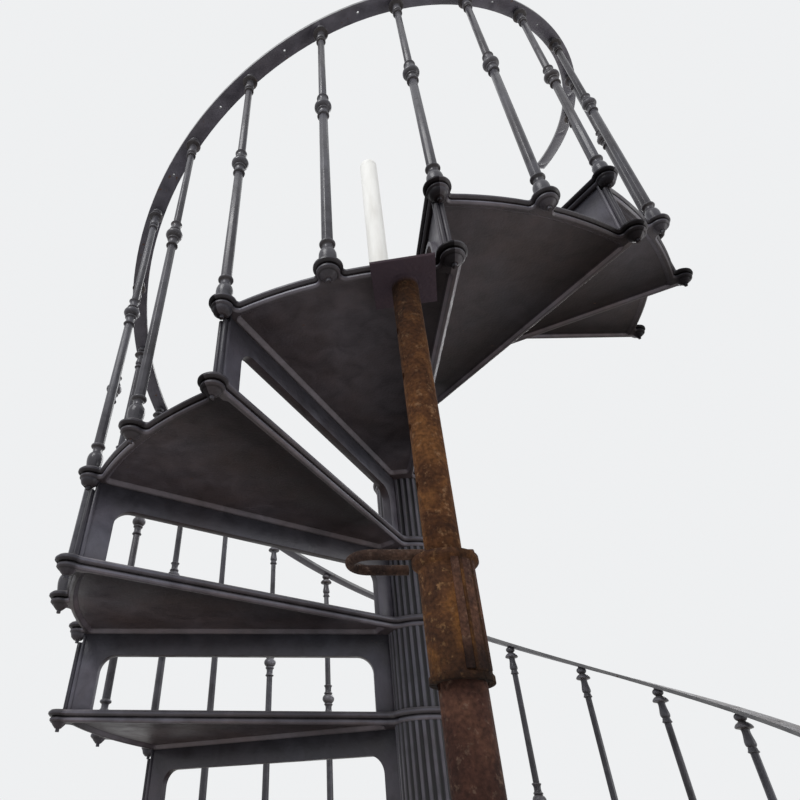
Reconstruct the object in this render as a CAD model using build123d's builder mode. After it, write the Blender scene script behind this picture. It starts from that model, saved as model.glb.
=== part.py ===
from build123d import *
import math
import os

# Cast-iron spiral staircase. Millimetres, +Z up, origin on the newel axis at floor level.
# Seen from above it climbs counter-clockwise, and the first tread starts at -Y.

# Going round and going up
rise = 200.0
treads_per_turn = 12
tread_count = 15
start_angle = 270.0
ear_circle_radius = 864.0

# Treads
bead_height = 13.0
bead_slope = 4.5
rim_inset = 13.0
rim_width = 16.0
lower_course_inset = 6.0
nosing = 22.0
back_lip = 22.0
pocket_depth = 10.0
pocket_draft = 40.0
pocket_corner = 14.0
pocket_land = 3.0
corner_blend = 5.0
newel_blend = 18.0
ear_radius = 28.5
cup_radius = 19.5
cup_height = 14.0
cup_shoulder_radius = 16.5
cup_shoulder_height = 8.0
cup_face_radius = 10.0
nut_radius = 17.0
nut_height = 11.0
nut_shoulder_radius = 13.0
nut_shoulder_height = 5.0
nut_face_radius = 7.0
bolt_tip_radius = 4.5
bolt_tip_height = 7.0

# Newel
column_radius = 79.0
flute_count = 30
flute_radius = 6.0
flute_depth = 3.5
band_projection = 9.0
pole_radius = 38.0
pole_wall = 5.0
pole_slip = 0.4
pole_above_last_tread = 1030.0
cap_edge = 8.0
base_radius = 165.0
base_height = 60.0
base_flange = 14.0
base_top_projection = 10.0
anchor_count = 4
anchor_hole_radius = 7.0
anchor_edge_distance = 22.0

# Risers
riser_plate = 10.0
riser_rim_depth = 20.0
riser_rim_width = 9.0
riser_back = 4.0
riser_top_rail = 50.0
riser_inner_stile = 41.0
riser_outer_stile = 45.0
riser_corner_radius = 38.0
pillar_inset = 14.0
pillar_bead_radius = 5.0
pillar_bead_spread = 5.0
casting_seat = 0.3

# Balusters, with the rail's underside measured above the front ear of a tread
rail_height = 947.0
knop_below_rail = 457.0
stud_radius = 6.0
stud_length = 18.0
stud_slip = 0.5
foot_radius = 14.5
bulb_radius = 16.5
bulb_height = 33.0
bulb_crown_radius = 13.0
bulb_crown_height = 41.0
neck_radius = 9.5
neck_start = 45.0
neck_height = 58.0
collar_radius = 11.0
collar_bead = 8.0
lower_shaft_bottom = 11.0
lower_shaft_top = 10.0
upper_shaft_bottom = 9.5
upper_shaft_top = 8.8
ball_radius = 21.0
ball_height = 38.0
knop_ring_radius = 11.5
knop_ring_bead = 6.0
knop_ring_offset = 38.0
head_height = 78.0
head_low_radius = 9.5
head_high_radius = 14.5
head_bead = 6.0
head_neck_radius = 9.0
head_neck_height = 9.0

# Handrail core
rail_width = 48.0
rail_thickness = 10.0
rail_lead = 30.0
rail_run_on_treads = 0.3
rail_joints_after = [3.5, 7.5, 11.5]
rail_screw_radius = 3.5

# Adjustable prop under the twelfth tread
propped_tread = 12
prop_inset = 43.0
prop_angle = 264.2
prop_outer_radius = 28.5
prop_outer_wall = 3.2
prop_outer_height = 1795.0
prop_inner_radius = 24.15
prop_inner_wall = 3.2
prop_inner_overlap = 700.0
prop_plate_side = 116.0
prop_plate_thickness = 6.0
prop_foot_side = 120.0
prop_head_turn = -10.0
prop_screw_travel = 100.0
casing_radius = 36.0
casing_length = 150.0
casing_slip = 0.6
casing_lip_radius = 43.0
casing_lip_thickness = 7.0
casing_rim_radius = 38.0
casing_rim_thickness = 8.0
casing_stand = 42.0
casing_rib_width = 20.0
casing_rib_height = 3.0
pin_radius = 7.0
pin_slip = 0.8
pin_loop_radius = 27.0
pin_reach = 95.0
pin_tail = 40.0
pin_end = 12.0
pin_hole_spacing = 100.0
pin_hole_count = 8

# Sizes that follow from the ones above
tread_angle = 360.0 / treads_per_turn
tread_thickness = 2 * bead_height
rim_radius = ear_circle_radius - rim_inset
band_radius = column_radius + band_projection
bore_radius = pole_radius + pole_slip
last_tread_top = tread_count * rise
rail_pitch = treads_per_turn * rise
rail_slope = math.degrees(math.atan2(rail_pitch, 2 * math.pi * ear_circle_radius))
prop_radius = ear_circle_radius - prop_inset
prop_x = prop_radius * math.cos(math.radians(prop_angle))
prop_y = prop_radius * math.sin(math.radians(prop_angle))
prop_head_top = propped_tread * rise - tread_thickness - casting_seat
casing_top = prop_outer_height + casing_stand
pin_height = casing_top + pin_radius + casting_seat


def casting_location(number):
    """Where the casting of one tread goes: turned and lifted about the newel."""
    turn = start_angle + (number - 1) * tread_angle
    return Location((0, 0, number * rise), (0, 0, turn))


def wedge_corners(front_offset, back_offset):
    """Corners of a sector that starts at the pole, its straight sides outside its two radii."""
    turn = math.radians(tread_angle)
    reach = 2 * rim_radius

    def on_back(along):
        across = back_offset
        return (
            along * math.cos(turn) - across * math.sin(turn),
            along * math.sin(turn) + across * math.cos(turn),
        )

    middle = (reach * math.cos(turn / 2), reach * math.sin(turn / 2))
    front_start = (pole_radius, -front_offset)
    return [front_start, (reach, -front_offset), middle, on_back(reach), on_back(pole_radius)]


def ring_profile(radius, bulge, low, high):
    """Corners of one rounded ring of a turned profile, from its lower edge to its upper."""
    return [(radius, low), (radius + bulge, (low + high) / 2), (radius, high)]


def moulded_course(inset):
    """One rounded course of a tread's edge, with its newel band and its three ears, set in."""
    with BuildPart() as course:
        with BuildSketch() as outline:
            Polygon(*wedge_corners(nosing - inset, back_lip - inset), align=None)
            Circle(rim_radius - inset, mode=Mode.INTERSECT)
            Circle(band_radius - inset)
            # the straight sides run on until they meet the end ears
            for turn, side in ((0, inset - nosing), (tread_angle, back_lip - inset)):
                with Locations(Location((0, 0, 0), (0, 0, turn))):
                    Polygon(
                        (ear_circle_radius - 2 * ear_radius, 0),
                        (ear_circle_radius - 2 * ear_radius, side),
                        (ear_circle_radius, side),
                        (ear_circle_radius, 0),
                        align=None,
                    )
            with PolarLocations(ear_circle_radius, 3, 0, tread_angle, endpoint=True):
                Circle(ear_radius - inset)
            # wide blends beside the newel, small ones beside the ears
            fillet(outline.vertices().sort_by(SortBy.DISTANCE)[:2], newel_blend + inset)
            fillet(outline.vertices().sort_by(SortBy.DISTANCE)[4:], corner_blend + inset)
        extrude(amount=bead_height)
        chamfer(course.faces().filter_by(Axis.Z).edges(), bead_slope)
    return course.part


def under_ear(radius, shoulder_radius, shoulder_height, face_radius, height):
    """Turned body that hangs under an ear, with the tip of its bolt below it."""
    with BuildPart() as body:
        with BuildSketch(Plane.XZ):
            Polygon(
                (0, -tread_thickness + bead_slope),
                (radius, -tread_thickness + bead_slope),
                (radius, -tread_thickness),
                (shoulder_radius, -tread_thickness - shoulder_height),
                (face_radius, -tread_thickness - height),
                (bolt_tip_radius, -tread_thickness - height),
                (bolt_tip_radius, -tread_thickness - height - bolt_tip_height),
                (0, -tread_thickness - height - bolt_tip_height),
                align=None,
            )
        revolve(axis=Axis.Z)
    return body.part


# One tread casting with its fluted drum, top of the tread at z = 0
with BuildPart() as step_casting:
    with Locations((0, 0, -bead_height)):
        add(moulded_course(0))
    with Locations((0, 0, -tread_thickness)):
        add(moulded_course(lower_course_inset))
    # shallow panel under the tread
    with BuildSketch(Plane.XY.offset(-tread_thickness)) as panel:
        Polygon(*wedge_corners(-(riser_back + pocket_land), back_lip - rim_width), align=None)
        Circle(rim_radius - rim_width, mode=Mode.INTERSECT)
        Circle(band_radius + rim_width, mode=Mode.SUBTRACT)
        fillet(panel.vertices(), pocket_corner)
    extrude(amount=pocket_depth, taper=pocket_draft, mode=Mode.SUBTRACT)
    # cup under the front ear, where the riser's pillar ends, and nuts under the other two
    with Locations((ear_circle_radius, 0, 0)):
        add(
            under_ear(
                cup_radius,
                cup_shoulder_radius,
                cup_shoulder_height,
                cup_face_radius,
                cup_height,
            )
        )
    with PolarLocations(ear_circle_radius, 2, tread_angle / 2, tread_angle / 2, endpoint=True):
        add(
            under_ear(
                nut_radius,
                nut_shoulder_radius,
                nut_shoulder_height,
                nut_face_radius,
                nut_height,
            )
        )
    # seats of the two balusters
    with PolarLocations(ear_circle_radius, 2, 0, tread_angle / 2, endpoint=True):
        Hole(stud_radius + stud_slip, depth=stud_length + stud_slip)
    # fluted drum that stands on the tread below and runs up into the lower course
    with BuildSketch(Plane.XY.offset(-rise)):
        Circle(column_radius)
        with PolarLocations(column_radius + flute_radius - flute_depth, flute_count):
            Circle(flute_radius, mode=Mode.SUBTRACT)
    extrude(amount=rise - tread_thickness + bead_height / 2)
    Hole(bore_radius)

# Open riser frame with its beaded pillar, in the frame of the tread that it carries
riser_plane = Plane(origin=(0, riser_back, 0), x_dir=(1, 0, 0), z_dir=(0, -1, 0))
pillar_radius_from_newel = ear_circle_radius - pillar_inset
frame_reach = pillar_radius_from_newel - pillar_bead_spread - pillar_bead_radius
opening_inner = column_radius + riser_inner_stile
opening_outer = frame_reach - riser_outer_stile
opening_top = -tread_thickness - riser_top_rail
riser_height = rise - tread_thickness
opening_middle = (opening_inner + opening_outer) / 2
opening_width = opening_outer - opening_inner
opening_height = opening_top + rise
with BuildSketch() as riser_opening:
    with Locations((opening_middle, -rise + opening_height / 2)):
        Rectangle(opening_width, opening_height)
    fillet(riser_opening.vertices().group_by(Axis.Y)[-1], riser_corner_radius)
with BuildSketch() as rim_outline:
    with Locations((opening_middle, -rise + (opening_height + riser_rim_width) / 2)):
        Rectangle(opening_width + 2 * riser_rim_width, opening_height + riser_rim_width)
    fillet(rim_outline.vertices().group_by(Axis.Y)[-1], riser_corner_radius + riser_rim_width)
with BuildPart() as riser_casting:
    with BuildSketch(riser_plane):
        with Locations((pillar_radius_from_newel / 2, -tread_thickness - riser_height / 2)):
            Rectangle(pillar_radius_from_newel, riser_height)
        add(riser_opening.sketch, mode=Mode.SUBTRACT)
    extrude(amount=riser_plate)
    # deeper rim round the opening
    with BuildSketch(riser_plane):
        add(rim_outline.sketch)
        add(riser_opening.sketch, mode=Mode.SUBTRACT)
    extrude(amount=riser_rim_depth)
    with BuildSketch(Plane.XY.offset(-rise)):
        with Locations((pillar_radius_from_newel, riser_back - riser_plate / 2)):
            with GridLocations(2 * pillar_bead_spread, 2 * pillar_bead_spread, 2, 2):
                Circle(pillar_bead_radius)
            Rectangle(2 * pillar_bead_spread, 2 * pillar_bead_spread)
    extrude(amount=riser_height)
    # hollowed round the column and round the cup of the ear above
    with Locations((0, 0, -rise / 2)):
        Cylinder(column_radius + casting_seat, rise, mode=Mode.SUBTRACT)
    with Locations((ear_circle_radius, 0, -tread_thickness)):
        Cylinder(
            cup_radius + casting_seat,
            2 * (cup_height + bolt_tip_height + casting_seat),
            mode=Mode.SUBTRACT,
        )

# Newel base, revolved: flange, cove and seat for the first drum
with BuildPart() as newel_base:
    with BuildSketch(Plane.XZ):
        with BuildLine():
            seat_radius = column_radius + base_top_projection
            Polyline(
                (seat_radius, base_height),
                (bore_radius, base_height),
                (bore_radius, 0),
                (base_radius, 0),
                (base_radius, base_flange / 2),
            )
            flange_edge = RadiusArc(
                (base_radius, base_flange / 2),
                (base_radius - base_flange / 2, base_flange),
                -base_flange / 2,
            )
            cove_start = (seat_radius + base_height / 2, base_flange)
            Line(flange_edge @ 1, cove_start)
            cove = RadiusArc(cove_start, (seat_radius, base_height - base_flange / 2), base_height)
            Line(cove @ 1, (seat_radius, base_height))
        make_face()
    revolve(axis=Axis.Z)
    with Locations((0, 0, base_flange)):
        with PolarLocations(base_radius - anchor_edge_distance, anchor_count, 45):
            Hole(anchor_hole_radius, depth=base_flange)
newel_base.part.label = "newel_base"

# Newel pole that the drums are threaded on, and its domed cap
pole_top = last_tread_top + pole_above_last_tread
with BuildPart() as newel_pole:
    with BuildSketch():
        Circle(pole_radius)
        Circle(pole_radius - pole_wall, mode=Mode.SUBTRACT)
    extrude(amount=pole_top)
newel_pole.part.label = "newel_pole"

with BuildPart() as newel_cap:
    with Locations((0, 0, pole_top)):
        Cylinder(pole_radius, cap_edge, align=(Align.CENTER, Align.CENTER, Align.MIN))
    with Locations((0, 0, pole_top + cap_edge)):
        Sphere(pole_radius, arc_size1=0, align=(Align.CENTER, Align.CENTER, Align.MIN))
    with Locations((0, 0, pole_top)):
        Cylinder(
            pole_radius - pole_wall - pole_slip,
            2 * cap_edge,
            align=(Align.CENTER, Align.CENTER, Align.MAX),
        )
newel_cap.part.label = "newel_cap"


def make_baluster(length):
    """One baluster from the top of its ear to the sloping underside of the rail."""
    knop = length - knop_below_rail
    head = length - head_height
    head_ring = length - head_neck_height - head_bead
    with BuildPart() as baluster:
        # stud
        Cylinder(stud_radius, stud_length, align=(Align.CENTER, Align.CENTER, Align.MAX))
        # turned foot
        with BuildSketch(Plane.XZ):
            Polygon(
                (0, 0),
                (foot_radius, 0),
                (bulb_radius, bulb_height),
                (bulb_crown_radius, bulb_crown_height),
                (neck_radius, neck_start),
                (neck_radius, neck_height),
                *ring_profile(collar_radius, collar_bead / 2, neck_height, neck_height + collar_bead),
                (0, neck_height + collar_bead),
                align=None,
            )
        revolve(axis=Axis.Z)
        # knop: a ball between two rings
        with BuildSketch(Plane.XZ):
            with BuildLine():
                Line((0, knop - ball_height / 2), (0, knop + ball_height / 2))
                ThreePointArc((0, knop + ball_height / 2), (ball_radius, knop), (0, knop - ball_height / 2))
            make_face()
            for ring in (knop - knop_ring_offset, knop + knop_ring_offset):
                Polygon(
                    (0, ring - knop_ring_bead / 2),
                    *ring_profile(
                        knop_ring_radius,
                        knop_ring_bead / 2,
                        ring - knop_ring_bead / 2,
                        ring + knop_ring_bead / 2,
                    ),
                    (0, ring + knop_ring_bead / 2),
                    align=None,
                )
        revolve(axis=Axis.Z)
        # turned head that spreads towards the rail
        with BuildSketch(Plane.XZ):
            Polygon(
                (0, head),
                *ring_profile(head_low_radius, head_bead / 2, head, head + head_bead),
                *ring_profile(head_high_radius, head_bead / 2, head_ring, head_ring + head_bead),
                (head_neck_radius, head_ring + head_bead),
                (head_neck_radius, length + rail_thickness),
                (0, length + rail_thickness),
                align=None,
            )
        revolve(axis=Axis.Z)
        # octagonal shafts below and above the knop, each drawn in towards its top
        with BuildSketch(Plane.XY.offset(neck_height)):
            RegularPolygon(lower_shaft_bottom, 8, major_radius=False)
        lower_run = knop - neck_height
        extrude(amount=lower_run, taper=math.degrees((lower_shaft_bottom - lower_shaft_top) / lower_run))
        with BuildSketch(Plane.XY.offset(knop)):
            RegularPolygon(upper_shaft_bottom, 8, major_radius=False)
        upper_run = head - knop
        extrude(amount=upper_run, taper=math.degrees((upper_shaft_bottom - upper_shaft_top) / upper_run))
        # the head is cut to the slope of the rail, a seat's gap below it
        tilt = math.radians(rail_slope)
        rail_side = Plane(
            origin=(0, 0, length - casting_seat),
            x_dir=(1, 0, 0),
            z_dir=(0, -math.sin(tilt), math.cos(tilt)),
        )
        split(bisect_by=rail_side, keep=Keep.BOTTOM)
    return baluster.part


front_baluster = make_baluster(rail_height)
middle_baluster = make_baluster(rail_height + rise / 2)


def make_rail(first, last):
    """One length of the flat rail, between two places counted in treads from the first front ear."""
    under = rise + rail_height + first * rise
    centre_height = under + rail_thickness / 2 / math.cos(math.radians(rail_slope))
    with BuildPart() as bar:
        with BuildLine():
            path = Helix(rail_pitch, (last - first) * rise, ear_circle_radius)
        with BuildSketch(Plane(origin=path @ 0, x_dir=(1, 0, 0), z_dir=path % 0)):
            Rectangle(rail_width, rail_thickness)
        sweep(is_frenet=True)
    with BuildPart() as rail:
        with Locations(Location((0, 0, centre_height), (0, 0, start_angle + first * tread_angle))):
            add(bar.part)
        # screw holes midway between balusters
        first_hole = math.ceil(2 * first - 0.5)
        last_hole = math.floor(2 * last - 0.5)
        for hole in range(first_hole, last_hole + 1):
            place = (hole + 0.5) / 2
            turn = math.radians(start_angle + place * tread_angle)
            spot = (
                ear_circle_radius * math.cos(turn),
                ear_circle_radius * math.sin(turn),
                rise + rail_height + place * rise,
            )
            with Locations(spot):
                Cylinder(rail_screw_radius, 4 * rail_thickness, mode=Mode.SUBTRACT)
    return rail.part


os.makedirs("parts", exist_ok=True)

# Steps and risers, from the floor up
for number in range(1, tread_count + 1):
    with BuildPart() as step:
        with Locations(casting_location(number)):
            add(step_casting.part)
        if number == 1:
            with Locations((0, 0, base_height)):
                Cylinder(
                    band_radius,
                    base_height,
                    align=(Align.CENTER, Align.CENTER, Align.MAX),
                    mode=Mode.SUBTRACT,
                )
    step.part.label = f"step_{number:02d}"
    export_step(step.part, f"parts/step_{number:02d}.step")

    with BuildPart() as riser:
        with Locations(casting_location(number)):
            add(riser_casting.part)
        if number == 1:
            with BuildSketch(Plane.XZ):
                with BuildLine():
                    Polyline(
                        (0, 0),
                        (base_radius + 1, 0),
                        (base_radius + 1, base_flange + 1),
                        (seat_radius + base_height / 2 + 1, base_flange + 1),
                        (seat_radius + 1, base_height + 1),
                        (0, base_height + 1),
                        close=True,
                    )
                make_face()
            revolve(axis=Axis.Z, mode=Mode.SUBTRACT)
    riser.part.label = f"riser_{number:02d}"
    export_step(riser.part, f"parts/riser_{number:02d}.step")

# Balusters, two on each tread, in three flights
flights = {"balusters_lower": (1, 5), "balusters_middle": (6, 10), "balusters_upper": (11, 15)}
for flight, (first, last) in flights.items():
    with BuildPart() as balusters:
        for number in range(first, last + 1):
            turn = start_angle + (number - 1) * tread_angle
            for half, baluster in ((0.0, front_baluster), (0.5, middle_baluster)):
                bearing = turn + half * tread_angle
                foot = (
                    ear_circle_radius * math.cos(math.radians(bearing)),
                    ear_circle_radius * math.sin(math.radians(bearing)),
                    number * rise,
                )
                with Locations(Location(foot, (0, 0, bearing))):
                    add(baluster)
    balusters.part.label = flight
    export_step(balusters.part, f"parts/{flight}.step")

# Handrail core in lengths that meet end to end
rail_marks = [-rail_lead / (ear_circle_radius * math.radians(tread_angle))]
rail_marks += rail_joints_after
rail_marks += [tread_count + rail_run_on_treads]
for index in range(len(rail_marks) - 1):
    rail = make_rail(rail_marks[index], rail_marks[index + 1])
    rail.label = f"handrail_{index + 1}"
    export_step(rail, f"parts/handrail_{index + 1}.step")

# Prop: outer tube on its foot plate, slotted for the pin
with BuildPart() as prop_outer_tube:
    with Locations((prop_x, prop_y)):
        Box(
            prop_foot_side,
            prop_foot_side,
            prop_plate_thickness,
            align=(Align.CENTER, Align.CENTER, Align.MIN),
        )
    with BuildSketch(Plane.XY):
        with Locations((prop_x, prop_y)):
            Circle(prop_outer_radius)
    extrude(amount=prop_outer_height)
    with BuildSketch(Plane.XY.offset(prop_plate_thickness)):
        with Locations((prop_x, prop_y)):
            Circle(prop_outer_radius - prop_outer_wall)
    extrude(amount=prop_outer_height, mode=Mode.SUBTRACT)
    slot_depth = prop_screw_travel + 2 * pin_radius
    with Locations((prop_x, prop_y, prop_outer_height)):
        Box(
            4 * prop_outer_radius,
            2 * (pin_radius + pin_slip),
            2 * slot_depth,
            mode=Mode.SUBTRACT,
        )
prop_outer_tube.part.label = "prop_outer_tube"

# Prop: inner tube with its row of pin holes and its head plate
inner_bottom = casing_top - prop_inner_overlap
head_underside = prop_head_top - prop_plate_thickness
with BuildPart() as prop_inner_tube:
    with BuildSketch(Plane.XY.offset(inner_bottom)):
        with Locations((prop_x, prop_y)):
            Circle(prop_inner_radius)
            Circle(prop_inner_radius - prop_inner_wall, mode=Mode.SUBTRACT)
    extrude(amount=head_underside - inner_bottom)
    with Locations(Location((prop_x, prop_y, head_underside), (0, 0, prop_head_turn))):
        Box(
            prop_plate_side,
            prop_plate_side,
            prop_plate_thickness,
            align=(Align.CENTER, Align.CENTER, Align.MIN),
        )
    for index in range(pin_hole_count):
        hole_height = pin_height + (index - pin_hole_count // 2 + 1) * pin_hole_spacing
        with Locations(Location((prop_x, prop_y, hole_height), (0, 90, 0))):
            Cylinder(pin_radius + pin_slip, 4 * prop_inner_radius, mode=Mode.SUBTRACT)
prop_inner_tube.part.label = "prop_inner_tube"

# Prop: screwed casing with its lip, rim and rib
with BuildPart() as prop_casing:
    with BuildSketch(Plane.XZ):
        with BuildLine():
            bore = prop_outer_radius + casing_slip
            casing_bottom = casing_top - casing_length
            Polyline(
                (bore, casing_bottom),
                (casing_rim_radius, casing_bottom),
                (casing_rim_radius, casing_bottom + casing_rim_thickness),
                (casing_radius, casing_bottom + casing_rim_thickness),
                (casing_radius, casing_top - 2 * casing_lip_thickness),
                (casing_lip_radius, casing_top - casing_lip_thickness),
                (casing_lip_radius, casing_top),
                (bore, casing_top),
                close=True,
            )
        make_face()
    revolve(axis=Axis.Z)
    rib_bottom = casing_bottom + casing_rim_thickness
    rib_length = casing_length - casing_rim_thickness - casing_lip_thickness
    with Locations(Location((0, 0, rib_bottom), (0, 0, -60))):
        with Locations((casing_radius, 0, 0)):
            Box(
                2 * casing_rib_height,
                casing_rib_width,
                rib_length,
                align=(Align.CENTER, Align.CENTER, Align.MIN),
            )
with BuildPart() as placed_casing:
    with Locations((prop_x, prop_y, 0)):
        add(prop_casing.part)
placed_casing.part.label = "prop_casing"

# Prop: bent pin, one leg through both tubes and one behind
with BuildPart() as prop_pin:
    loop_x = prop_x - pin_reach
    near = (prop_x + prop_inner_radius + pin_end + prop_outer_wall, prop_y, pin_height)
    turn_near = (loop_x, prop_y, pin_height)
    turn_mid = (loop_x - pin_loop_radius, prop_y + pin_loop_radius, pin_height)
    turn_far = (loop_x, prop_y + 2 * pin_loop_radius, pin_height)
    far = (prop_x - pin_tail, prop_y + 2 * pin_loop_radius, pin_height)
    with BuildLine() as pin_path:
        Line(near, turn_near)
        ThreePointArc(turn_near, turn_mid, turn_far)
        Line(turn_far, far)
    with BuildSketch(Plane(origin=near, z_dir=(-1, 0, 0))):
        Circle(pin_radius)
    sweep(path=pin_path.wire())
prop_pin.part.label = "prop_pin"

for piece in (newel_base, newel_pole, newel_cap, prop_outer_tube, prop_inner_tube, prop_pin):
    export_step(piece.part, f"parts/{piece.part.label}.step")
export_step(placed_casing.part, "parts/prop_casing.step")
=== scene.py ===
import math

import bpy
from mathutils import Matrix, Vector


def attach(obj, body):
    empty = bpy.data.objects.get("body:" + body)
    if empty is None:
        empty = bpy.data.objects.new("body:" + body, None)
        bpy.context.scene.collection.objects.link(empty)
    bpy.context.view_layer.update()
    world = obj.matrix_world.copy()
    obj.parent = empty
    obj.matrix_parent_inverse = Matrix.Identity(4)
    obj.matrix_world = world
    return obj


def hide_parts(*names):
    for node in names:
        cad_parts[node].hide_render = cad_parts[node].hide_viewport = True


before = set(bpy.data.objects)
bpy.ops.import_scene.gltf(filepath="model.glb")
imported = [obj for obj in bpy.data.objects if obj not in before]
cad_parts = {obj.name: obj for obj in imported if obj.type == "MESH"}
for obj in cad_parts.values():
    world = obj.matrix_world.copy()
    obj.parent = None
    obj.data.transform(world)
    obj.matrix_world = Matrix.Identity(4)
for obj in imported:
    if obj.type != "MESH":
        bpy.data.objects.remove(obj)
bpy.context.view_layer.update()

# Viewpoint
# The stair is seen from beside its foot, looking up past the prop at the undersides
# of the upper treads.
eye = Vector((-0.2454, -1.5938, 1.522))
heading = math.radians(2.864)
look_up = math.radians(38.445)
roll = math.radians(0.997)
focal_px = 608.458
middle_px = (294.115, 381.291)
photo_side = 800
forward = Vector((
    -math.sin(heading) * math.cos(look_up),
    math.cos(heading) * math.cos(look_up),
    math.sin(look_up),
))
level = Vector((math.cos(heading), math.sin(heading), 0))
upright = level.cross(forward)
camera_right = math.cos(roll) * level + math.sin(roll) * upright
camera_up = -math.sin(roll) * level + math.cos(roll) * upright
camera_data = bpy.data.cameras.new("photo_camera")
camera_data.sensor_width = 36
camera_data.lens = focal_px * camera_data.sensor_width / photo_side
camera_data.shift_x = (photo_side / 2 - middle_px[0]) / photo_side
camera_data.shift_y = (middle_px[1] - photo_side / 2) / photo_side
camera_data.clip_start = 0.05
camera = bpy.data.objects.new("photo_camera", camera_data)
bpy.context.collection.objects.link(camera)
turn = Matrix((camera_right, camera_up, -forward)).transposed()
camera.matrix_world = Matrix.Translation(eye) @ turn.to_4x4()
bpy.context.scene.camera = camera
bpy.context.scene.view_settings.view_transform = "Standard"

# Floor and surround
# A plain pale floor that takes the stair's shadow, and a pale surround that shows
# in the glossy paint as well.
floor_radius = 9
floor_drop = 0.001
bpy.ops.object.select_all(action="DESELECT")
bpy.ops.mesh.primitive_circle_add(
    vertices=64, radius=floor_radius, fill_type="NGON", location=(0, 0, -floor_drop)
)
floor = bpy.context.object
floor.name = "studio_floor"
floor_finish = bpy.data.materials.new("pale_floor")
floor_finish.use_nodes = True
floor_shader = floor_finish.node_tree.nodes["Principled BSDF"]
floor_shader.inputs["Base Color"].default_value = (0.78, 0.78, 0.77, 1)
floor_shader.inputs["Roughness"].default_value = 0.8
floor.data.materials.append(floor_finish)

studio = bpy.data.worlds.new("studio")
bpy.context.scene.world = studio
studio.use_nodes = True
sky = studio.node_tree
sky.nodes.clear()
ambient = sky.nodes.new("ShaderNodeBackground")
ambient.inputs["Color"].default_value = (1, 1, 1, 1)
ambient.inputs["Strength"].default_value = 0.5
backdrop = sky.nodes.new("ShaderNodeBackground")
backdrop.inputs["Color"].default_value = (0.86, 0.87, 0.88, 1)
rays = sky.nodes.new("ShaderNodeLightPath")
direct = sky.nodes.new("ShaderNodeMath")
direct.operation = "MAXIMUM"
any_view = sky.nodes.new("ShaderNodeMath")
any_view.operation = "MAXIMUM"
pick = sky.nodes.new("ShaderNodeMixShader")
world_output = sky.nodes.new("ShaderNodeOutputWorld")
sky.links.new(rays.outputs["Is Camera Ray"], direct.inputs[0])
sky.links.new(rays.outputs["Is Glossy Ray"], direct.inputs[1])
sky.links.new(direct.outputs[0], any_view.inputs[0])
sky.links.new(rays.outputs["Is Transmission Ray"], any_view.inputs[1])
sky.links.new(any_view.outputs[0], pick.inputs["Fac"])
sky.links.new(ambient.outputs[0], pick.inputs[1])
sky.links.new(backdrop.outputs[0], pick.inputs[2])
sky.links.new(pick.outputs[0], world_output.inputs["Surface"])


def softbox(name, place, aim, side, power):
    """A square soft lamp that faces a point on the stair."""
    lamp = bpy.data.lights.new(name, "AREA")
    lamp.size = side
    lamp.energy = power
    holder = bpy.data.objects.new(name, lamp)
    bpy.context.collection.objects.link(holder)
    direction = Vector(aim) - Vector(place)
    holder.rotation_euler = direction.to_track_quat("-Z", "Y").to_euler()
    holder.location = place


softbox("lamp_front", place=(-2.4, -3.8, 6.2), aim=(0, 0, 2.2), side=2.4, power=185)
softbox("lamp_back", place=(3.0, 4.5, 6.0), aim=(0, 0, 2.4), side=3.0, power=170)
softbox("lamp_side", place=(5.0, -2.0, 2.0), aim=(0, 0, 2.0), side=2.5, power=70)

# Newel base
# A turned cast-iron foot with a flange that four bolts and washers hold to the floor,
# painted like the rest of the stair.
rise = 0.2
tread_angle = math.radians(30)
flute_radii = (0.0762, 0.0790)
outer_end_radii = (0.847, 0.855)


def noise(tree, where, scale, detail, roughness=0.5, distortion=0.0):
    """Cloudy noise from 0 to 1, read at a place."""
    texture = tree.nodes.new("ShaderNodeTexNoise")
    texture.inputs["Scale"].default_value = scale
    texture.inputs["Detail"].default_value = detail
    texture.inputs["Roughness"].default_value = roughness
    texture.inputs["Distortion"].default_value = distortion
    tree.links.new(where, texture.inputs["Vector"])
    return texture.outputs["Fac"]


def spread(tree, value, low, high, to_low=0.0, to_high=1.0, clamped=True):
    """Maps the range from low to high onto another, which is held at its ends if it is clamped."""
    scale = tree.nodes.new("ShaderNodeMapRange")
    scale.clamp = clamped
    scale.inputs["From Min"].default_value = low
    scale.inputs["From Max"].default_value = high
    scale.inputs["To Min"].default_value = to_low
    scale.inputs["To Max"].default_value = to_high
    tree.links.new(value, scale.inputs["Value"])
    return scale.outputs[0]


def reckon(tree, operation, first, second):
    """One number worked out from two, the second of which may be a plain number."""
    step = tree.nodes.new("ShaderNodeMath")
    step.operation = operation
    tree.links.new(first, step.inputs[0])
    if isinstance(second, (int, float)):
        step.inputs[1].default_value = second
    else:
        tree.links.new(second, step.inputs[1])
    return step.outputs[0]


def blend(tree, factor, first, second):
    """Goes from one colour to another, each a plain one or worked out."""
    mix = tree.nodes.new("ShaderNodeMix")
    mix.data_type = "RGBA"
    tree.links.new(factor, mix.inputs["Factor"])
    for end, colour in (("A", first), ("B", second)):
        if isinstance(colour, tuple):
            mix.inputs[end].default_value = (*colour, 1)
        else:
            tree.links.new(colour, mix.inputs[end])
    return mix.outputs["Result"]


def dim(tree, colour, factor):
    """Darkens a colour, or lifts it where the factor is over 1."""
    scaled = tree.nodes.new("ShaderNodeVectorMath")
    scaled.operation = "SCALE"
    tree.links.new(colour, scaled.inputs[0])
    tree.links.new(factor, scaled.inputs["Scale"])
    return scaled.outputs[0]


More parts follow.
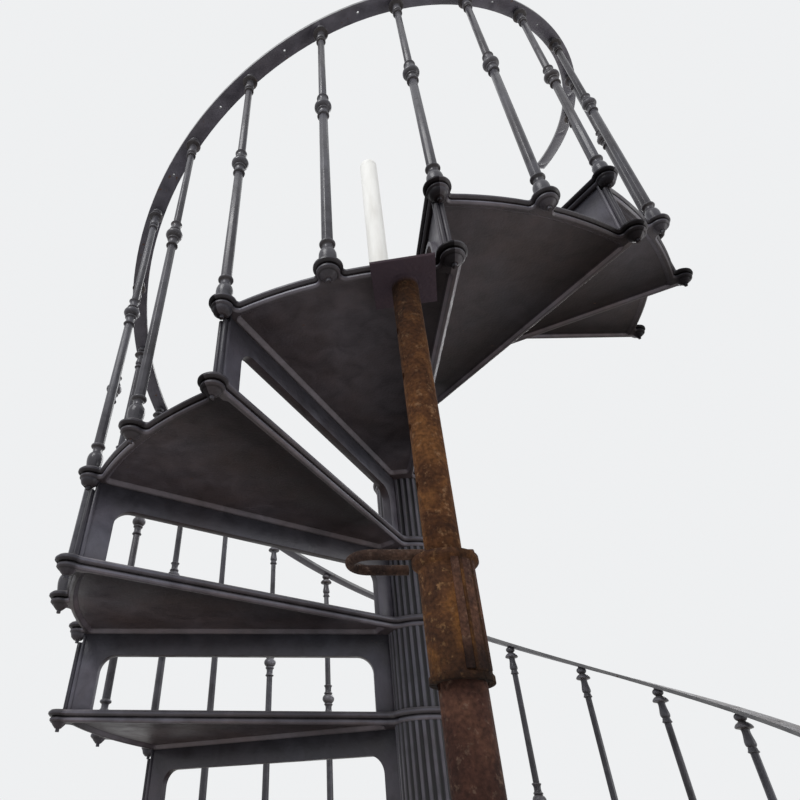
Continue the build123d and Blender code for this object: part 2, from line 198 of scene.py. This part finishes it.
def graded(tree, value, stops):
    """A colour that follows a value through stops, each a value from 0 to 1 and a colour."""
    ramp = tree.nodes.new("ShaderNodeValToRGB")
    tree.links.new(value, ramp.inputs["Fac"])
    elements = ramp.color_ramp.elements
    elements[1].position = stops[-1][0]
    elements[0].position = stops[0][0]
    for at, _ in stops[1:-1]:
        elements.new(at)
    for element, (_, colour) in zip(elements, stops):
        element.color = (*colour, 1)
    return ramp.outputs["Color"]


def rough_skin(tree, height, strength, depth):
    """Bumps the surface by a height and joins that to the shader."""
    bump = tree.nodes.new("ShaderNodeBump")
    bump.inputs["Strength"].default_value = strength
    bump.inputs["Distance"].default_value = depth
    tree.links.new(height, bump.inputs["Height"])
    tree.links.new(bump.outputs[0], tree.nodes["Principled BSDF"].inputs["Normal"])


def banded(tree, tone, height, count_from, factors):
    """Dims or lifts a tone at each share of a rise, counted upwards from a height."""
    rises = spread(tree, height, count_from, count_from + rise, clamped=False)
    share = reckon(tree, "FLOORED_MODULO", rises, 1)
    # a ramp holds no more than 1, so it holds half the factor
    ramp = graded(tree, share, [(at, (factor / 2,) * 3) for at, factor in factors])
    return dim(tree, tone, spread(tree, ramp, 0, 1, 0, 2))


# painted shade at the rear edge of each tread
def painted_rear_shade(tree, sides, from_axis):
    """Is 1 at the rear edge of each tread, clear of the newel, and 0 towards its front."""
    full_and_none = (0.03, 0.21)
    clear_of_newel = (0.17, 0.26)
    bearing = reckon(tree, "ARCTAN2", sides.outputs["Y"], sides.outputs["X"])
    turned = reckon(tree, "FLOORED_MODULO", bearing, tread_angle)
    to_rear = spread(tree, turned, 0, tread_angle, tread_angle, 0)
    to_rear = reckon(tree, "MULTIPLY", to_rear, from_axis)
    rear_shade = spread(tree, to_rear, *full_and_none, 1, 0)
    return reckon(tree, "MULTIPLY", rear_shade, spread(tree, from_axis, *clear_of_newel))


def iron_paint(
    name, cool, warm, roughness, grain, chip_share,
    lit_uprights=None, bands=None, shaded_rears=False, ends=(0.45, 0.22),
):
    """Old semi-gloss paint over iron, browner below and dusty on top, with rusty chips.

    Undersides are browner and darker, partly as dirt and partly as painted shade. Upright faces
    may be painted another tone as painted light. Bands are a height to count from and the factors
    that dim or lift the paint at each share of a rise above it, as painted shade and highlights.
    The rear edges of the treads may be painted darker as shade. Ends are the share of the tone and
    the sheen that are left at the outer end.
    """
    dust_tone = (0.13, 0.12, 0.11)
    chip_tone = (0.075, 0.038, 0.024)
    finish = bpy.data.materials.new(name)
    finish.use_nodes = True
    tree = finish.node_tree
    shader = tree.nodes["Principled BSDF"]
    where = tree.nodes.new("ShaderNodeTexCoord").outputs["Object"]
    patches = noise(tree, where, scale=3.5, detail=6, roughness=0.6)
    fine = noise(tree, where, scale=170, detail=6)
    smears = noise(tree, where, scale=22, detail=8, distortion=0.6)
    chips = noise(tree, where, scale=60, detail=3)
    # undersides are painted browner and darker than the sides, partly as dirt and partly as
    # painted shade, and dust lies on what faces up
    facing = tree.nodes.new("ShaderNodeSeparateXYZ")
    tree.links.new(tree.nodes.new("ShaderNodeNewGeometry").outputs["Normal"], facing.inputs[0])
    facing_up = facing.outputs["Z"]
    below = spread(tree, facing_up, -0.2, -0.9, 0, 0.62)
    warmth = reckon(tree, "ADD", below, spread(tree, patches, 0.38, 0.62, 0, 0.38))
    tone = blend(tree, warmth, cool, warm)
    above = spread(tree, facing_up, 0.5, 0.95)
    dust = reckon(tree, "MULTIPLY", above, spread(tree, smears, 0.35, 0.62, 0.08, 0.55))
    tone = blend(tree, dust, tone, dust_tone)
    tone = dim(tree, tone, spread(tree, smears, 0.3, 0.7, 0.75, 1.3))
    # the flutes of the newel are painted dark as shade and the ridges between them painted light
    # as highlights
    across = tree.nodes.new("ShaderNodeVectorMath")
    across.operation = "MULTIPLY"
    across.inputs[1].default_value = (1, 1, 0)
    length = tree.nodes.new("ShaderNodeVectorMath")
    length.operation = "LENGTH"
    tree.links.new(where, across.inputs[0])
    tree.links.new(across.outputs[0], length.inputs[0])
    from_axis = length.outputs["Value"]
    tone = dim(tree, tone, spread(tree, from_axis, *flute_radii, 0.20, 1.7))
    # ears, pillars and balusters at the outer end are darker and duller
    end_tone, end_sheen = ends
    outer_end = spread(tree, from_axis, *outer_end_radii)
    tone = dim(tree, tone, spread(tree, outer_end, 0, 1, 1, end_tone))
    sheen = spread(tree, outer_end, 0, 1, 0.35, end_sheen)
    place = tree.nodes.new("ShaderNodeSeparateXYZ")
    tree.links.new(where, place.inputs[0])
    if bands:
        tone = banded(tree, tone, place.outputs["Z"], *bands)
    if shaded_rears:
        # the rear of each tread is painted darker and less glossy as shade, and a little lighter
        # towards its front as light
        rear_shade = painted_rear_shade(tree, place, from_axis)
        tone = dim(tree, tone, spread(tree, rear_shade, 0, 1, 1.15, 0.36))
        sheen = reckon(tree, "MULTIPLY", sheen, spread(tree, rear_shade, 0, 1, 1, 0.2))
    if lit_uprights:
        # upright faces are painted towards the paler tone in patches, as light falling on them
        slant = reckon(tree, "MULTIPLY", facing_up, facing_up)
        patchy = spread(tree, smears, 0.3, 0.6, 0.55, 1)
        upright_light = reckon(tree, "MULTIPLY", spread(tree, slant, 0.05, 0.2, 1, 0), patchy)
        tone = blend(tree, upright_light, tone, lit_uprights)
    chipped = spread(tree, chips, chip_share, chip_share + 0.03)
    tone = blend(tree, chipped, tone, chip_tone)
    tree.links.new(tone, shader.inputs["Base Color"])
    gloss = spread(tree, smears, 0.3, 0.7, roughness - 0.1, roughness + 0.12)
    gloss = reckon(tree, "ADD", gloss, spread(tree, above, 0, 1, 0, 0.2))
    tree.links.new(gloss, shader.inputs["Roughness"])
    tree.links.new(sheen, shader.inputs["Specular IOR Level"])
    rough_skin(tree, fine, grain, 0.0015)
    return finish


# the edge of a tread has two beads painted lighter as highlights, a groove between them painted
# dark as dirt and shade, and a rim underside painted dark as shade
bead_light_and_shade = [
    (0.366, 1), (0.369, 0.55), (0.372, 0.55), (0.380, 1.20), (0.385, 1.32), (0.412, 1.24),
    (0.423, 0.52), (0.435, 0.32), (0.446, 0.60), (0.458, 1), (0.486, 1.08), (0.493, 1.48),
    (0.498, 1.40), (0.5, 1),
]
stair_paint = iron_paint(
    "stair_paint", cool=(0.054, 0.053, 0.066), warm=(0.034, 0.0235, 0.023), roughness=0.42,
    grain=0.35, chip_share=0.735, bands=(-rise / 2, bead_light_and_shade), shaded_rears=True,
)


def round_edges(width, segments):
    """Rounds the sharp edges of the active piece."""
    rounding = bpy.context.object.modifiers.new("rounding", "BEVEL")
    rounding.width = width
    rounding.segments = segments
    rounding.limit_method = "ANGLE"
    rounding.angle_limit = math.radians(32)
    rounding.use_clamp_overlap = True
    bpy.ops.object.modifier_apply(modifier="rounding")


def dress(node, name, finish, edge=0.0012, segments=2):
    """Copies a node's mesh into a piece of its own, joins its triangles and rounds its edges."""
    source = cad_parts[node]
    piece = bpy.data.objects.new(name, source.data.copy())
    bpy.context.collection.objects.link(piece)
    bpy.ops.object.select_all(action="DESELECT")
    bpy.context.view_layer.objects.active = piece
    piece.select_set(True)
    bpy.ops.mesh.customdata_custom_splitnormals_clear()
    bpy.ops.object.mode_set(mode="EDIT")
    bpy.ops.mesh.select_all(action="SELECT")
    bpy.ops.mesh.remove_doubles(threshold=0.00001)
    bpy.ops.mesh.dissolve_limited(angle_limit=math.radians(0.6))
    bpy.ops.object.mode_set(mode="OBJECT")
    round_edges(edge, segments)
    bpy.ops.object.shade_smooth_by_angle(angle=math.radians(40))
    piece.data.materials.clear()
    piece.data.materials.append(finish)
    return piece


base = dress("newel_base", "base_casting", stair_paint)
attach(base, "stair")
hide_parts("newel_base")


def draw_up(name, rings, sides):
    """A turned or many-sided body: a disc drawn up through rings, each a radius and a height."""
    radius, height = rings[0]
    bpy.ops.object.select_all(action="DESELECT")
    bpy.ops.mesh.primitive_circle_add(
        vertices=sides, radius=radius, fill_type="NGON", location=(0, 0, height)
    )
    body = bpy.context.object
    body.name = name
    bpy.ops.object.transform_apply(location=True, rotation=False, scale=False)
    bpy.ops.object.mode_set(mode="EDIT")
    bpy.ops.mesh.select_all(action="SELECT")
    for wide, high in rings[1:]:
        bpy.ops.mesh.extrude_region_move(TRANSFORM_OT_translate={"value": (0, 0, high - height)})
        ratio = wide / radius
        bpy.ops.transform.resize(value=(ratio, ratio, 1), center_override=(0, 0, high))
        radius, height = wide, high
    bpy.ops.mesh.select_all(action="SELECT")
    bpy.ops.mesh.normals_make_consistent(inside=False)
    bpy.ops.object.mode_set(mode="OBJECT")
    return body


def unite(pieces, name, finish):
    """Joins pieces into one object with one finish."""
    bpy.ops.object.select_all(action="DESELECT")
    for piece in pieces:
        piece.select_set(True)
    bpy.context.view_layer.objects.active = pieces[0]
    bpy.ops.object.join()
    whole = bpy.context.view_layer.objects.active
    whole.name = name
    bpy.ops.object.shade_smooth_by_angle(angle=math.radians(40))
    whole.data.materials.clear()
    whole.data.materials.append(finish)
    return whole


def copy_of(piece, name, place):
    """A copy of a piece with its own mesh, moved by a matrix."""
    copy = bpy.data.objects.new(name, piece.data.copy())
    copy.data.transform(place)
    bpy.context.collection.objects.link(copy)
    return copy


flange_top = 0.014
anchor_circle = 0.143
anchor_count = 4
washer_radius = 0.012
head_radius = 0.0108
tip_radius = 0.0058
washer_foot = flange_top - 0.0005
washer_top = flange_top + 0.0026
head_foot = flange_top + 0.0024
head_top = head_foot + 0.0078
tip_top = head_foot + 0.0118
washer_rings = [(washer_radius, washer_foot), (washer_radius, washer_top - 0.0006)]
washer_rings += [(washer_radius - 0.0006, washer_top)]
bolt_rings = [(head_radius, head_foot), (head_radius, head_top - 0.0012)]
bolt_rings += [(head_radius - 0.0014, head_top)]
tip_rings = [(tip_radius, head_foot), (tip_radius, tip_top - 0.0013)]
tip_rings += [(tip_radius - 0.0010, tip_top)]
washer = draw_up("anchor_washer", washer_rings, 28)
bolt_head = draw_up("anchor_head", bolt_rings, 6)
bolt_tip = draw_up("anchor_tip", tip_rings, 20)
anchor = unite([washer, bolt_head, bolt_tip], "anchor_bolt", stair_paint)
anchors = []
for quarter in range(anchor_count):
    around = Matrix.Rotation(2 * math.pi * (quarter + 0.5) / anchor_count, 4, "Z")
    out = Matrix.Translation((anchor_circle, 0, 0))
    anchors.append(copy_of(anchor, f"anchor_bolt_{quarter}", around @ out))
bpy.data.objects.remove(anchor)
anchor_bolts = unite(anchors, "anchor_bolts", stair_paint)
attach(anchor_bolts, "stair")

# Newel pole
# A steel tube that carries the drums, painted off-white where it stands clear above
# the last tread, with a domed cap.
pale_paint = bpy.data.materials.new("pale_paint")
pale_paint.use_nodes = True
pale_tree = pale_paint.node_tree
pale_shader = pale_tree.nodes["Principled BSDF"]
pale_place = pale_tree.nodes.new("ShaderNodeTexCoord")
pale_stretch = pale_tree.nodes.new("ShaderNodeMapping")
pale_stretch.inputs["Scale"].default_value = (14, 14, 2.5)
pale_tree.links.new(pale_place.outputs["Object"], pale_stretch.inputs["Vector"])
pale_streaks = noise(pale_tree, pale_stretch.outputs[0], scale=1.6, detail=7)
pale_tone = graded(pale_tree, pale_streaks, [(0.3, (0.66, 0.65, 0.62)), (0.6, (0.82, 0.82, 0.80))])
pale_tree.links.new(pale_tone, pale_shader.inputs["Base Color"])
pale_shader.inputs["Roughness"].default_value = 0.4
rough_skin(pale_tree, pale_streaks, 0.2, 0.001)
for node, name in (("newel_pole", "pole_tube"), ("newel_cap", "pole_cap")):
    part = dress(node, name, pale_paint)
    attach(part, "stair")
    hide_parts(node)

# Steps
# Each tread is one iron casting with its ears, edge mouldings and the fluted drum
# that stands on the tread below; low lozenges on its top keep a foot from slipping.
tread_count = 15
start_angle = math.radians(270)
tread_edge = 0.0022
lozenge_length = 0.026
lozenge_width = 0.011
lozenge_height = 0.0014
lozenge_root = 0.0004
lozenge_top_share = 0.62
lozenge_rows = 22
lozenges_aside = 8
lozenge_row = 0.034
lozenge_pitch = 0.027
foothold_inner = 0.115
foothold_outer = 0.82
foothold_front = -0.002
foothold_rear = 0.03
lozenge = draw_up("lozenge", [(1, -lozenge_root), (1, 0), (lozenge_top_share, lozenge_height)], 4)
lozenge.data.transform(Matrix.Diagonal((lozenge_length / 2, lozenge_width / 2, 1, 1)))
middle_line = Matrix.Rotation(tread_angle / 2, 4, "Z")
lozenges = []
for row in range(lozenge_rows):
    for column in range(-lozenges_aside, lozenges_aside + 1):
        along = foothold_inner + row * lozenge_row
        aside = (column + 0.5 * (row % 2)) * lozenge_pitch
        spot = middle_line @ Vector((along, aside, 0))
        to_rear = spot.x * math.sin(tread_angle) - spot.y * math.cos(tread_angle)
        if spot.y < foothold_front or to_rear < foothold_rear:
            continue
        if math.hypot(spot.x, spot.y) > foothold_outer:
            continue
        place = Matrix.Translation(spot) @ middle_line
        lozenges.append(copy_of(lozenge, "lozenge_copy", place))
bpy.data.objects.remove(lozenge)
foothold = unite(lozenges, "foothold", stair_paint)


def up_the_stair(number):
    """Turns and lifts what is drawn for a tread in its own frame to where that tread is."""
    spin = Matrix.Rotation(start_angle + tread_angle * (number - 1), 4, "Z")
    return Matrix.Translation((0, 0, rise * number)) @ spin


# the first tread has a shorter drum, and all others are like the second
treads = {}
for number in (1, 2):
    name = f"step_casting_{number:02d}"
    casting = dress(f"step_{number:02d}", name, stair_paint, edge=tread_edge, segments=3)
    grip = copy_of(foothold, "grip", up_the_stair(number))
    treads[number] = unite([casting, grip], name, stair_paint)
bpy.data.objects.remove(foothold)
from_second = up_the_stair(2).inverted()
for number in range(3, tread_count + 1):
    climb = up_the_stair(number) @ from_second
    treads[number] = copy_of(treads[2], f"step_casting_{number:02d}", climb)
for number, tread in treads.items():
    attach(tread, "stair")
    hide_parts(f"step_{number:02d}")

# Risers
# Open iron frames with rounded upper corners and a beaded pillar at the outer end,
# held between one tread's rear edge and the next tread, and painted darker near the top as shade
# under the tread above.
riser_edge = 0.0015
# each riser is painted darker towards its top, as shade under the tread above
riser_top_shade = [(0.02, 1), (0.42, 1), (0.60, 0.70), (0.74, 0.42), (0.87, 0.34)]
riser_paint = iron_paint(
    "riser_paint", cool=(0.052, 0.051, 0.065), warm=(0.032, 0.020, 0.019), roughness=0.42,
    grain=0.35, chip_share=0.735, bands=(0, riser_top_shade),
)
risers = {}
for number in (1, 2):
    name = f"riser_frame_{number:02d}"
    risers[number] = dress(f"riser_{number:02d}", name, riser_paint, edge=riser_edge)
for number in range(3, tread_count + 1):
    climb = up_the_stair(number) @ from_second
    risers[number] = copy_of(risers[2], f"riser_frame_{number:02d}", climb)
for number, riser in risers.items():
    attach(riser, "stair")
    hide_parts(f"riser_{number:02d}")


# Balusters
# Turned iron balusters, two to a tread: a bulbed foot, an octagonal shaft with a ringed
# knop, and a head of collar, vase, saucer and ball that is riveted to the rail.
def swelling(core, bulge, middle, half_height, low, high, steps):
    """Rings of a rounded swelling on a core radius, from one angle above its middle to another."""
    rings = []
    for step in range(steps + 1):
        angle = math.radians(low + (high - low) * step / steps)
        rings.append((core + bulge * math.cos(angle), middle + half_height * math.sin(angle)))
    return rings


ear_circle = 0.864
rail_height = 0.947
rail_gap = 0.0003
knop_below_rail = 0.457
head_height = 0.0905
turned_sides = 28
shaft_arris = 0.0012
treads_in_flight = 5
rail_slope = math.atan2(2 * math.pi / tread_angle * rise, 2 * math.pi * ear_circle)
baluster_paint = iron_paint(
    "baluster_paint", cool=(0.100, 0.099, 0.115), warm=(0.045, 0.036, 0.034), roughness=0.29,
    grain=0.25, chip_share=0.75,
)


def turned_baluster(name, length):
    """One baluster with its foot at the origin, in the frame of its ear."""
    knop = length - knop_below_rail
    head = length - head_height
    # a foot is a bulb that narrows to a neck below a ring
    foot_rings = [(0.0140, 0), (0.0146, 0.006), (0.0160, 0.013), (0.0171, 0.020), (0.0175, 0.026)]
    foot_rings += [(0.0171, 0.032), (0.0157, 0.0375), (0.0133, 0.0415), (0.0108, 0.0440)]
    foot_rings += [(0.0097, 0.0465), (0.0097, 0.0540), (0.0106, 0.0562)]
    foot_rings += swelling(0.0112, 0.0048, 0.062, 0.0046, -75, 75, 6)
    foot_rings += [(0.0112, 0.068)]
    # above and below its widest ring a knop has a torus, a hollow neck and a thin flange
    knop_half = [(0.0100, 0.0460), (0.0132, 0.0450), (0.0146, 0.0436), (0.0148, 0.0424)]
    knop_half += [(0.0138, 0.0408), (0.0120, 0.0380), (0.0111, 0.0340), (0.0109, 0.0295)]
    knop_half += [(0.0112, 0.0255), (0.0120, 0.0222)]
    knop_half += swelling(0.0122, 0.0030, 0.0178, 0.0034, 75, -75, 6)
    knop_half += [(0.0126, 0.0136), (0.0148, 0.0120), (0.0176, 0.0093), (0.0198, 0.0058)]
    knop_half += [(0.0211, 0.0024)]
    knop_rings = [(wide, knop - off) for wide, off in knop_half]
    knop_rings += [(wide, knop + off) for wide, off in reversed(knop_half)]
    # a head is a flanged collar, a vase, a wide saucer and a ball that the rail sits on
    above_head = [(0.0100, -0.0010), (0.0124, 0), (0.0134, 0.0014), (0.0134, 0.0026)]
    above_head += [(0.0122, 0.0042), (0.0112, 0.0070), (0.0108, 0.0100), (0.0098, 0.0112)]
    above_head += [(0.0098, 0.0124), (0.0112, 0.0136), (0.0127, 0.0160), (0.0134, 0.0196)]
    above_head += [(0.0131, 0.0238), (0.0120, 0.0300), (0.0107, 0.0370), (0.0099, 0.0440)]
    above_head += [(0.0099, 0.0490), (0.0112, 0.0515), (0.0160, 0.0530), (0.0206, 0.0542)]
    above_head += [(0.0218, 0.0556), (0.0217, 0.0574), (0.0200, 0.0606), (0.0168, 0.0640)]
    above_head += [(0.0132, 0.0668), (0.0102, 0.0684)]
    head_rings = [(wide, head + up) for wide, up in above_head]
    head_rings += swelling(0, 0.0152, length - 0.0112, 0.0106, -58, 58, 10)
    head_rings += [(0.0080, length + 0.006)]
    head_body = draw_up(f"{name}_head", head_rings, turned_sides)
    # the head's end is cut to the slope of the rail, a hair below it
    bpy.ops.object.mode_set(mode="EDIT")
    bpy.ops.mesh.select_all(action="SELECT")
    bpy.ops.mesh.bisect(
        plane_co=(0, 0, length - rail_gap),
        plane_no=(0, -math.sin(rail_slope), math.cos(rail_slope)),
        use_fill=True,
        clear_outer=True,
    )
    bpy.ops.object.mode_set(mode="OBJECT")
    # the shafts below and above the knop are octagonal and taper upwards, and their two
    # thicknesses are given from the axis to a flat
    foot_end = 0.066
    knop_reach = 0.044
    flat_to_corner = 1 / math.cos(math.pi / 8)
    shafts = []
    for low, high, low_flat, high_flat in (
        (foot_end, knop - knop_reach, 0.0110, 0.0101),
        (knop + knop_reach, head + 0.001, 0.0096, 0.0090),
    ):
        shaft_rings = [(low_flat * flat_to_corner, low), (high_flat * flat_to_corner, high)]
        shafts.append(draw_up(f"{name}_shaft", shaft_rings, 8))
        round_edges(shaft_arris, 2)
    foot_body = draw_up(f"{name}_foot", foot_rings, turned_sides)
    knop_body = draw_up(f"{name}_knop", knop_rings, turned_sides)
    return unite([foot_body, knop_body, head_body, *shafts], name, baluster_paint)


# one pattern stands on a tread's front ear and the other half a tread further on, where the
# rail is half a rise higher
patterns = {
    0.0: turned_baluster("front_baluster", rail_height),
    0.5: turned_baluster("middle_baluster", rail_height + rise / 2),
}
for index, flight in enumerate(("lower", "middle", "upper")):
    first = 1 + index * treads_in_flight
    standing = []
    for number in range(first, first + treads_in_flight):
        for half, pattern in patterns.items():
            bearing = start_angle + (number - 1 + half) * tread_angle
            place = Matrix.Translation((0, 0, rise * number)) @ Matrix.Rotation(bearing, 4, "Z")
            place = place @ Matrix.Translation((ear_circle, 0, 0))
            standing.append(copy_of(pattern, "baluster_copy", place))
    balusters = unite(standing, f"turned_balusters_{flight}", baluster_paint)
    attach(balusters, "stair")
    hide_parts(f"balusters_{flight}")
for pattern in patterns.values():
    bpy.data.objects.remove(pattern)

# Handrail core
# A flat iron bar with screw holes, bent to the helix in lengths that meet end to end;
# its upright faces are painted paler than its underside, as light falling on them.
rail_edge = 0.0015
rail_lengths = 4
rail_paint = iron_paint(
    "rail_paint", cool=(0.050, 0.050, 0.064), warm=(0.045, 0.040, 0.048), roughness=0.45,
    grain=0.4, chip_share=0.70, lit_uprights=(0.25, 0.25, 0.255), ends=(0.95, 0.33),
)
for number in range(1, rail_lengths + 1):
    bar = dress(f"handrail_{number}", f"rail_bar_{number}", rail_paint, edge=rail_edge)
    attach(bar, "stair")
    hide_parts(f"handrail_{number}")


# Prop
# A screw prop of rusty steel tube that stands on the floor and holds up the twelfth
# tread: outer tube, casing with its key strip, inner tube with a head plate, bent pin.
def rust(name, dark, middle, bright, fleck, scale, fades=(), grime=None):
    """Heavy old rust in three tones with pale flecks, dimmed along each fade's direction.

    A fade is a direction, where it starts and ends along it, and the share of the tone that it
    leaves. Grime is a height where it starts, one where it is thickest, and its colour.
    """
    finish = bpy.data.materials.new(name)
    finish.use_nodes = True
    tree = finish.node_tree
    shader = tree.nodes["Principled BSDF"]
    where = tree.nodes.new("ShaderNodeTexCoord").outputs["Object"]
    blotches = noise(tree, where, scale=scale, detail=9, roughness=0.66, distortion=0.5)
    pits = noise(tree, where, scale=scale * 14, detail=5)
    specks = noise(tree, where, scale=scale * 6, detail=4, roughness=0.7)
    flakes = tree.nodes.new("ShaderNodeTexVoronoi")
    flakes.inputs["Scale"].default_value = scale * 9
    tree.links.new(where, flakes.inputs["Vector"])
    tone = graded(tree, blotches, [(0.36, dark), (0.5, middle), (0.66, bright)])
    tone = blend(tree, spread(tree, specks, 0.57, 0.68, 0, 0.75), tone, fleck)
    tone = dim(tree, tone, spread(tree, pits, 0.3, 0.7, 0.6, 1.35))
    for direction, start, end, least in fades:
        along = tree.nodes.new("ShaderNodeVectorMath")
        along.operation = "DOT_PRODUCT"
        along.inputs[1].default_value = direction
        tree.links.new(where, along.inputs[0])
        tone = dim(tree, tone, spread(tree, along.outputs["Value"], start, end, 1, least))
    if grime:
        start, end, colour = grime
        place = tree.nodes.new("ShaderNodeSeparateXYZ")
        tree.links.new(where, place.inputs[0])
        tone = blend(tree, spread(tree, place.outputs["Z"], start, end, 0, 0.88), tone, colour)
    tree.links.new(tone, shader.inputs["Base Color"])
    rough_skin(tree, reckon(tree, "ADD", pits, flakes.outputs["Distance"]), 0.5, 0.002)
    shader.inputs["Roughness"].default_value = 0.88
    shader.inputs["Specular IOR Level"].default_value = 0.15
    return finish


upward = (0, 0, 1)
rightward = (1, 0, 0)
outer_rust = rust(
    "outer_tube_rust", dark=(0.022, 0.010, 0.008), middle=(0.044, 0.019, 0.014),
    bright=(0.088, 0.040, 0.026), fleck=(0.12, 0.075, 0.055), scale=13,
    fades=[(upward, 1.66, 1.50, 0.75)],
)
# the inner tube is painted darker towards its top as shade under the tread it holds up; grime
# darkens its head plate
inner_rust = rust(
    "inner_tube_rust", dark=(0.036, 0.015, 0.008), middle=(0.076, 0.031, 0.013),
    bright=(0.150, 0.064, 0.022), fleck=(0.21, 0.115, 0.060), scale=14,
    fades=[(upward, 2.08, 2.32, 0.37)], grime=(2.350, 2.362, (0.046, 0.032, 0.042)),
)
# the casing is painted darker low down, from the key strip's groove rightwards, and at its bottom
# rim, as shade
casing_painted_shade = [(upward, 1.79, 1.70, 0.55), (rightward, -0.079, -0.071, 0.50)]
casing_painted_shade += [(upward, 1.697, 1.686, 0.5)]
casing_rust = rust(
    "casing_rust", dark=(0.032, 0.015, 0.010), middle=(0.082, 0.035, 0.016),
    bright=(0.20, 0.085, 0.026), fleck=(0.24, 0.13, 0.06), scale=16, fades=casing_painted_shade,
)
# the key strip is painted darker towards its lower end, as shade
strip_rust = rust(
    "strip_rust", dark=(0.030, 0.015, 0.012), middle=(0.060, 0.029, 0.020),
    bright=(0.115, 0.054, 0.033), fleck=(0.15, 0.090, 0.06), scale=18,
    fades=[(upward, 1.735, 1.712, 0.42)],
)
pin_rust = rust(
    "pin_rust", dark=(0.024, 0.014, 0.012), middle=(0.042, 0.024, 0.018),
    bright=(0.085, 0.048, 0.034), fleck=(0.11, 0.075, 0.06), scale=20,
)
for node, name, finish, slot, body in (
    ("prop_outer_tube", "prop_lower_tube", outer_rust, "prop_tube", "stair"),
    ("prop_inner_tube", "prop_upper_tube", inner_rust, "prop_tube", "prop_head"),
    ("prop_pin", "prop_bent_pin", pin_rust, "prop_fitting", "prop_head"),
    ("prop_casing", "prop_screw_casing", casing_rust, "prop_fitting", "prop_head"),
):
    part = dress(node, name, finish)
    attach(part, body)
    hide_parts(node)

# the key strip is two curved plates with a groove between them, each cut out of a disc
# by an inner chord and its two sides
prop_axis = Vector((-0.08297, -0.81679, 0))
strip_low = 1.697
strip_high = 1.827
strip_radius = 0.0395
strip_chord = 0.0305
plate_edge = 0.0009
plate_bearings = (math.radians(-83), math.radians(-54))
plate_half_angles = (math.radians(7.5), math.radians(19))
plates = []
for bearing, half_angle in zip(plate_bearings, plate_half_angles):
    outward = Vector((math.cos(bearing), math.sin(bearing), 0))
    plate = draw_up("casing_strip", [(strip_radius, strip_low), (strip_radius, strip_high)], 72)
    cuts = [(outward * strip_chord, -outward)]
    for side in (1, -1):
        away = bearing + side * (half_angle + math.pi / 2)
        cuts.append((Vector((0, 0, 0)), Vector((math.cos(away), math.sin(away), 0))))
    bpy.ops.object.mode_set(mode="EDIT")
    for through, away in cuts:
        bpy.ops.mesh.select_all(action="SELECT")
        bpy.ops.mesh.bisect(plane_co=through, plane_no=away, use_fill=True, clear_outer=True)
    bpy.ops.object.mode_set(mode="OBJECT")
    round_edges(plate_edge, 2)
    plate.data.transform(Matrix.Translation(prop_axis))
    plates.append(plate)
strip = unite(plates, "prop_key_strip", strip_rust)
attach(strip, "prop_head")
